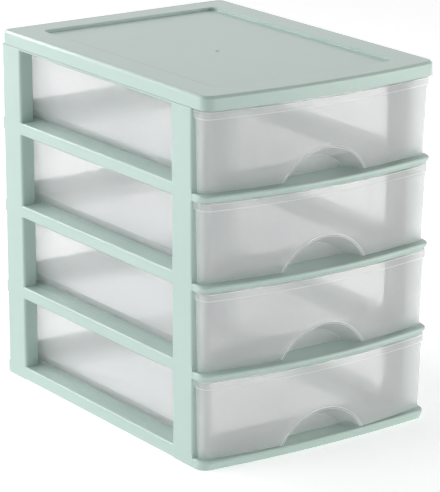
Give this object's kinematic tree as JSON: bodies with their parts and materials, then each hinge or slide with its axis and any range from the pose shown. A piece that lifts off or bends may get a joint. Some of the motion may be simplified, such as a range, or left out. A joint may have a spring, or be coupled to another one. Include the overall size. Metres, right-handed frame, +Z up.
{
  "type": "desktop mini drawers",
  "caption": "Desktop chest of small translucent drawers that slide in an open-sided plastic frame with a flat recessed top.",
  "frame": {"origin": "centre of the whole outline in plan, on the surface that the chest stands on", "axes": "+Z up, -Y towards the drawers' fronts, +X to the right seen from the front"},
  "size_m": [0.192, 0.2676, 0.26],
  "materials": {
    "housing_plastic": "mint green, smooth satin gloss",
    "drawer_plastic": "frosted translucent, colourless"
  },
  "bodies": {
    "housing": {"top_cover": "housing_plastic", "left_side_frame": "housing_plastic", "right_side_frame": "housing_plastic", "base_frame": "housing_plastic", "shelf_frame_3": "housing_plastic", "shelf_frame_2": "housing_plastic", "shelf_frame_1": "housing_plastic"},
    "drawer_1_body": {"drawer_1": "drawer_plastic"},
    "drawer_2_body": {"drawer_2": "drawer_plastic"},
    "drawer_3_body": {"drawer_3": "drawer_plastic"},
    "drawer_4_body": {"drawer_4": "drawer_plastic"}
  },
  "joints": [
    {"name": "drawer_1_slide", "type": "slide", "parent": "housing", "child": "drawer_1_body", "axis": [0, -1, 0], "range_m": [0, 0.2]},
    {"name": "drawer_2_slide", "type": "slide", "parent": "housing", "child": "drawer_2_body", "axis": [0, -1, 0], "range_m": [0, 0.2]},
    {"name": "drawer_3_slide", "type": "slide", "parent": "housing", "child": "drawer_3_body", "axis": [0, -1, 0], "range_m": [0, 0.2]},
    {"name": "drawer_4_slide", "type": "slide", "parent": "housing", "child": "drawer_4_body", "axis": [0, -1, 0], "range_m": [0, 0.2]}
  ]
}
